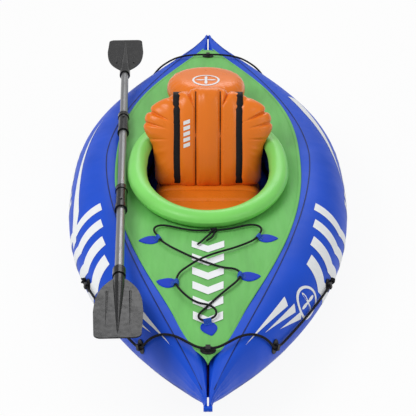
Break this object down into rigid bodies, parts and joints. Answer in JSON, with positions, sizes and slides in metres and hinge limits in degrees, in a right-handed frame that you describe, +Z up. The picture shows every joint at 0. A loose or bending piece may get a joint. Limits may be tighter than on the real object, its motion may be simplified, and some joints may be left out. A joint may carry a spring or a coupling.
{
  "type": "inflatable kayak",
  "caption": "One-person inflatable kayak with a cloth deck, a raised coaming round the cockpit, a seat with a backrest, rope grab lines and a two-bladed paddle laid along its side.",
  "frame": {"origin": "on the ground under the middle of the hull", "axes": "+Z up, bow along -Y, stern along +Y, starboard along -X"},
  "size_m": [1.0172, 2.9246, 0.5371],
  "materials": {
    "hull_blue": "glossy soft vinyl",
    "floor_blue": "satin vinyl",
    "deck_green": "satin coated cloth",
    "bright_green": "glossy soft vinyl",
    "seat_orange": "glossy soft vinyl",
    "webbing_black": "woven",
    "rubber_black": "matte",
    "rope_black": "braided",
    "tab_blue": "satin vinyl",
    "shaft_metal": "brushed",
    "paddle_black": "glossy",
    "valve_grey": "matte",
    "valve_black": "matte"
  },
  "bodies": {
    "hull": {"bottom_skin": "hull_blue", "bow_line": "rope_black", "bow_line_knots": "rope_black", "bow_tip_lug": "tab_blue", "coaming_ring": "bright_green", "coaming_valve": "valve_grey", "deck_cover": "deck_green", "deck_lace": "rope_black", "floor_mat": "floor_blue", "floor_valve": "valve_grey", "hull_valve_port": "valve_black", "hull_valve_starboard": "valve_black", "lace_knot": "rope_black", "lace_tab_centre": "tab_blue", "lace_tab_port_front": "tab_blue", "lace_tab_port_rear": "tab_blue", "lace_tab_starboard_front": "tab_blue", "lace_tab_starboard_rear": "tab_blue", "lace_tail_long": "rope_black", "lace_tail_short": "rope_black", "line_holder_bow_centre": "rubber_black", "line_holder_bow_inner_port": "rubber_black", "line_holder_bow_inner_starboard": "rubber_black", "line_holder_bow_outer_port": "rubber_black", "line_holder_bow_outer_starboard": "rubber_black", "line_holder_stern_centre": "rubber_black", "line_holder_stern_inner_port": "rubber_black", "line_holder_stern_inner_starboard": "rubber_black", "line_holder_stern_outer_port": "rubber_black", "line_holder_stern_outer_starboard": "rubber_black", "pillow_valve": "valve_grey", "port_side_tube": "hull_blue", "rear_pillow": "seat_orange", "seat_cushion": "seat_orange", "seat_valve": "valve_grey", "starboard_side_tube": "hull_blue", "stern_line": "rope_black", "stern_line_knots": "rope_black", "stern_tip_lug": "tab_blue"},
    "backrest": {"backrest": "seat_orange", "backrest_strap_port": "webbing_black", "backrest_strap_starboard": "webbing_black", "backrest_valve": "valve_grey"},
    "paddle": {"paddle_shaft_middle": "shaft_metal", "paddle_coupling_bow": "paddle_black", "paddle_coupling_bow_collars": "paddle_black", "paddle_coupling_stern": "paddle_black", "paddle_coupling_stern_collars": "paddle_black"},
    "paddle_bow_half": {"paddle_blade_bow": "paddle_black", "paddle_blade_collar_bow": "paddle_black", "paddle_shaft_bow": "shaft_metal"},
    "paddle_stern_half": {"paddle_blade_collar_stern": "paddle_black", "paddle_blade_stern": "paddle_black", "paddle_shaft_stern": "shaft_metal"},
    "coupling_button_bow": {"paddle_coupling_bow_button": "paddle_black"},
    "coupling_button_stern": {"paddle_coupling_stern_button": "paddle_black"},
    "hull_valve_cap_starboard": {"hull_valve_cap_starboard": "valve_black"},
    "hull_valve_cap_port": {"hull_valve_cap_port": "valve_black"},
    "floor_valve_cap": {"floor_valve_cap": "valve_grey"}
  },
  "joints": [
    {"name": "backrest_fold", "type": "hinge", "parent": "hull", "child": "backrest", "pos_m": [0, -0.0735, 0.1964], "axis": [1, 0, 0], "range_deg": [0, 45]},
    {"name": "paddle_lift", "type": "slide", "parent": "hull", "child": "paddle", "axis": [0, 0, 1], "range_m": [0, 0.3]},
    {"name": "paddle_feather_bow", "type": "hinge", "parent": "paddle", "child": "paddle_bow_half", "pos_m": [-0.3118, -0.082, 0.31631], "axis": [0.0393, -0.9992, 0], "range_deg": [-60, 60]},
    {"name": "paddle_feather_stern", "type": "hinge", "parent": "paddle", "child": "paddle_stern_half", "pos_m": [-0.3118, -0.082, 0.31631], "axis": [0.0393, -0.9992, 0], "range_deg": [-60, 60]},
    {"name": "coupling_press_bow", "type": "slide", "parent": "paddle", "child": "coupling_button_bow", "axis": [0, 0, -1], "range_m": [0, 0.002], "stiffness_N_per_m": 400, "springref_m": -0.001},
    {"name": "coupling_press_stern", "type": "slide", "parent": "paddle", "child": "coupling_button_stern", "axis": [0, 0, -1], "range_m": [0, 0.002], "stiffness_N_per_m": 400, "springref_m": -0.001},
    {"name": "hull_valve_turn_starboard", "type": "hinge", "parent": "hull", "child": "hull_valve_cap_starboard", "pos_m": [-0.2222, 1.04226, 0.16321], "axis": [-0.8511, 0.5018, 0.1541], "range_deg": [0, 180]},
    {"name": "hull_valve_turn_port", "type": "hinge", "parent": "hull", "child": "hull_valve_cap_port", "pos_m": [0.2222, 1.04226, 0.16321], "axis": [0.8511, 0.5018, 0.1541], "range_deg": [0, 180]},
    {"name": "floor_valve_turn", "type": "hinge", "parent": "hull", "child": "floor_valve_cap", "pos_m": [0.152, -0.5, 0.0815], "axis": [0, 0, 1], "range_deg": [0, 180]}
  ]
}
